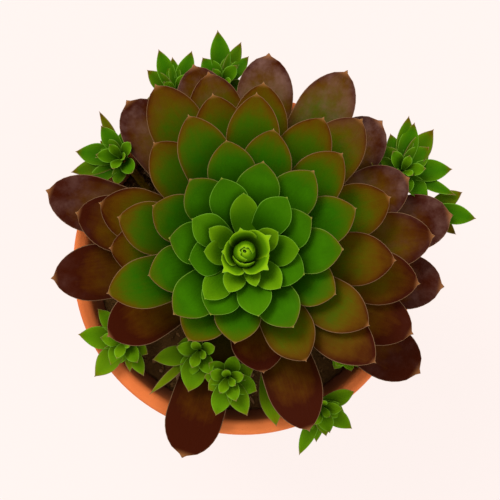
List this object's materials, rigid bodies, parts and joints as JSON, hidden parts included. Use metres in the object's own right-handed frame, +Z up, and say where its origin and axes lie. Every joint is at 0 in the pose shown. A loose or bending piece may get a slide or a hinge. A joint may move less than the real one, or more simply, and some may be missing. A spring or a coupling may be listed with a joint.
{
  "type": "potted succulent",
  "caption": "Large rosette succulent with fleshy pointed leaves, green at the heart and maroon outside, ringed by small offsets in a tapered terracotta pot.",
  "frame": {"origin": "centre of the pot's flat base, on the pot's axis", "axes": "+Z up along the pot's axis; +Y towards the side where two offsets hang over the rim; +X to the right when looking along +Y"},
  "size_m": [0.1536, 0.1513, 0.1618],
  "materials": {
    "terracotta": "matte",
    "soil": "matte",
    "stem_bark": "matte",
    "heart_leaf": "satin",
    "middle_leaf": "satin",
    "outer_leaf": "satin",
    "offset_leaf": "satin"
  },
  "bodies": {
    "root": {"heart": "heart_leaf", "leaf_33": "middle_leaf", "leaf_34": "middle_leaf", "leaf_35": "middle_leaf", "leaf_36": "middle_leaf", "leaf_37": "middle_leaf", "leaf_38": "middle_leaf", "leaf_39": "middle_leaf", "leaf_40": "middle_leaf", "leaf_41": "middle_leaf", "leaf_42": "middle_leaf", "leaf_43": "middle_leaf", "leaf_45": "middle_leaf", "leaf_46": "middle_leaf", "leaf_47": "middle_leaf", "leaf_48": "middle_leaf", "leaf_50": "outer_leaf", "leaf_51": "outer_leaf", "leaf_52": "outer_leaf", "leaf_53": "outer_leaf", "leaf_54": "outer_leaf", "leaf_56": "outer_leaf", "leaf_58": "outer_leaf", "leaf_59": "outer_leaf", "leaf_60": "outer_leaf", "leaf_61": "outer_leaf", "leaf_62": "outer_leaf", "leaf_63": "outer_leaf", "leaf_64": "outer_leaf", "leaf_66": "outer_leaf", "leaf_67": "outer_leaf", "leaf_68": "outer_leaf", "leaf_69": "outer_leaf", "leaf_71": "outer_leaf", "leaf_74": "outer_leaf", "leaf_75": "outer_leaf", "leaf_77": "outer_leaf", "leaf_79": "outer_leaf", "leaf_80": "outer_leaf", "leaf_82": "outer_leaf", "leaf_84": "outer_leaf", "leaf_85": "outer_leaf", "leaf_87": "outer_leaf", "leaf_89": "outer_leaf", "leaf_91": "outer_leaf", "leaf_92": "outer_leaf", "main_stem": "stem_bark", "offset_east": "offset_leaf", "offset_east_low": "offset_leaf", "offset_north": "offset_leaf", "offset_north_east": "offset_leaf", "offset_north_west": "offset_leaf", "offset_south": "offset_leaf", "offset_south_east": "offset_leaf", "offset_south_mid": "offset_leaf", "offset_south_west": "offset_leaf", "offset_west": "offset_leaf", "pot": "terracotta", "soil": "soil"}
  },
  "joints": []
}
